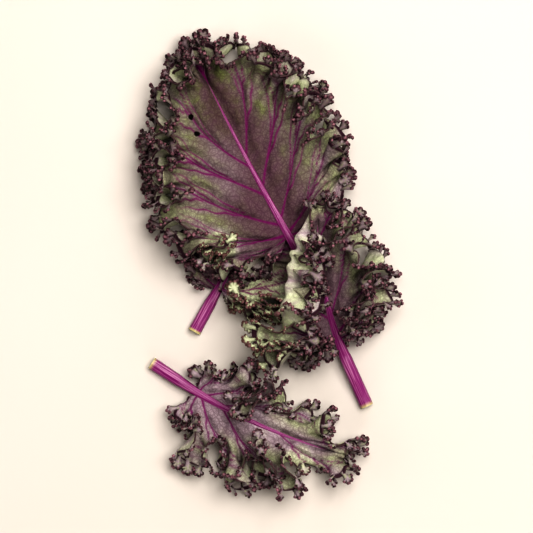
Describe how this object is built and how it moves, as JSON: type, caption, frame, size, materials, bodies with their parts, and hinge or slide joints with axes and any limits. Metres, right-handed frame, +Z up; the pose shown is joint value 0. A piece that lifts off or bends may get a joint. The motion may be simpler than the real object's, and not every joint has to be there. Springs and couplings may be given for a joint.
{
  "type": "purple kale bunch",
  "caption": "Loose bunch of purple curly kale: frilled leaf blades with bare magenta stalks, lying over and beside each other on a surface.",
  "frame": {"origin": "on the surface that the bunch lies on, under the middle of its outline", "axes": "+Z up, +Y along the bunch from the small leaf to the large leaf's tip, +X to the right seen from above"},
  "size_m": [0.0708, 0.1284, 0.0241],
  "materials": {
    "blade": "waxy, half matt",
    "stalk": "moist, half gloss"
  },
  "bodies": {
    "root": {"large_leaf_blade": "blade", "large_leaf_stalk": "stalk", "folded_leaf_blade": "blade", "folded_leaf_stalk": "stalk", "under_leaf_blade": "blade", "under_leaf_stalk": "stalk", "small_leaf_blade": "blade", "small_leaf_stalk": "stalk"}
  },
  "joints": []
}
